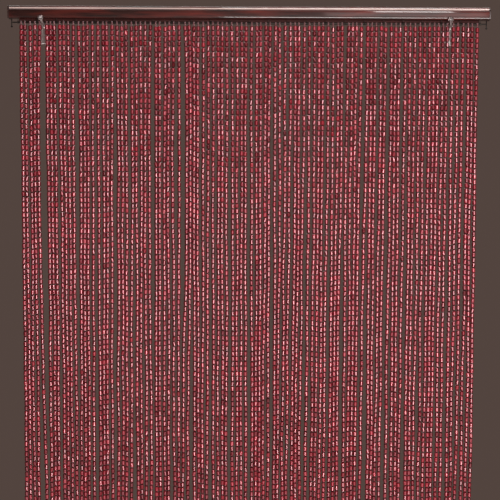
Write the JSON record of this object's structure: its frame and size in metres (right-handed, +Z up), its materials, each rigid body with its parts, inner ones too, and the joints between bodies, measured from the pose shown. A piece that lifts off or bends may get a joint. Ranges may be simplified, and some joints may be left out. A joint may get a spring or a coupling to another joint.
{
  "type": "bead curtain and rail",
  "caption": "Doorway curtain of strings of glossy dark red wooden beads hung from a thin rod under a moulded rosewood rail, carried by two clear wall hooks.",
  "frame": {"origin": "centre of the rail's flat back, on the wall plane", "axes": "+Z up, +Y into the wall, so the front faces -Y, +X to the right seen from the front"},
  "size_m": [0.97, 0.0319, 1.8064],
  "materials": {
    "rosewood": "gloss lacquer, dark grain",
    "cap_brown": "satin",
    "dark_steel": "browned, satin",
    "red_lacquer": "gloss paint",
    "clear_plastic": "clear, slightly pink"
  },
  "bodies": {
    "root": {"rail": "rosewood", "batten": "rosewood", "end_cap_left": "cap_brown", "end_cap_right": "cap_brown", "rod": "dark_steel", "end_pin_left": "dark_steel", "end_pin_right": "dark_steel", "eye_01": "dark_steel", "eye_02": "dark_steel", "eye_03": "dark_steel", "eye_04": "dark_steel", "eye_05": "dark_steel", "eye_06": "dark_steel", "eye_07": "dark_steel", "eye_08": "dark_steel", "eye_09": "dark_steel", "eye_10": "dark_steel", "eye_11": "dark_steel", "eye_12": "dark_steel", "eye_13": "dark_steel", "eye_14": "dark_steel", "eye_15": "dark_steel", "eye_16": "dark_steel", "eye_17": "dark_steel", "eye_18": "dark_steel", "eye_19": "dark_steel", "eye_20": "dark_steel", "eye_21": "dark_steel", "eye_22": "dark_steel", "eye_23": "dark_steel", "eye_24": "dark_steel", "eye_25": "dark_steel", "bead_strings": "red_lacquer", "wall_hook_left": "clear_plastic", "wall_hook_right": "clear_plastic"}
  },
  "joints": []
}
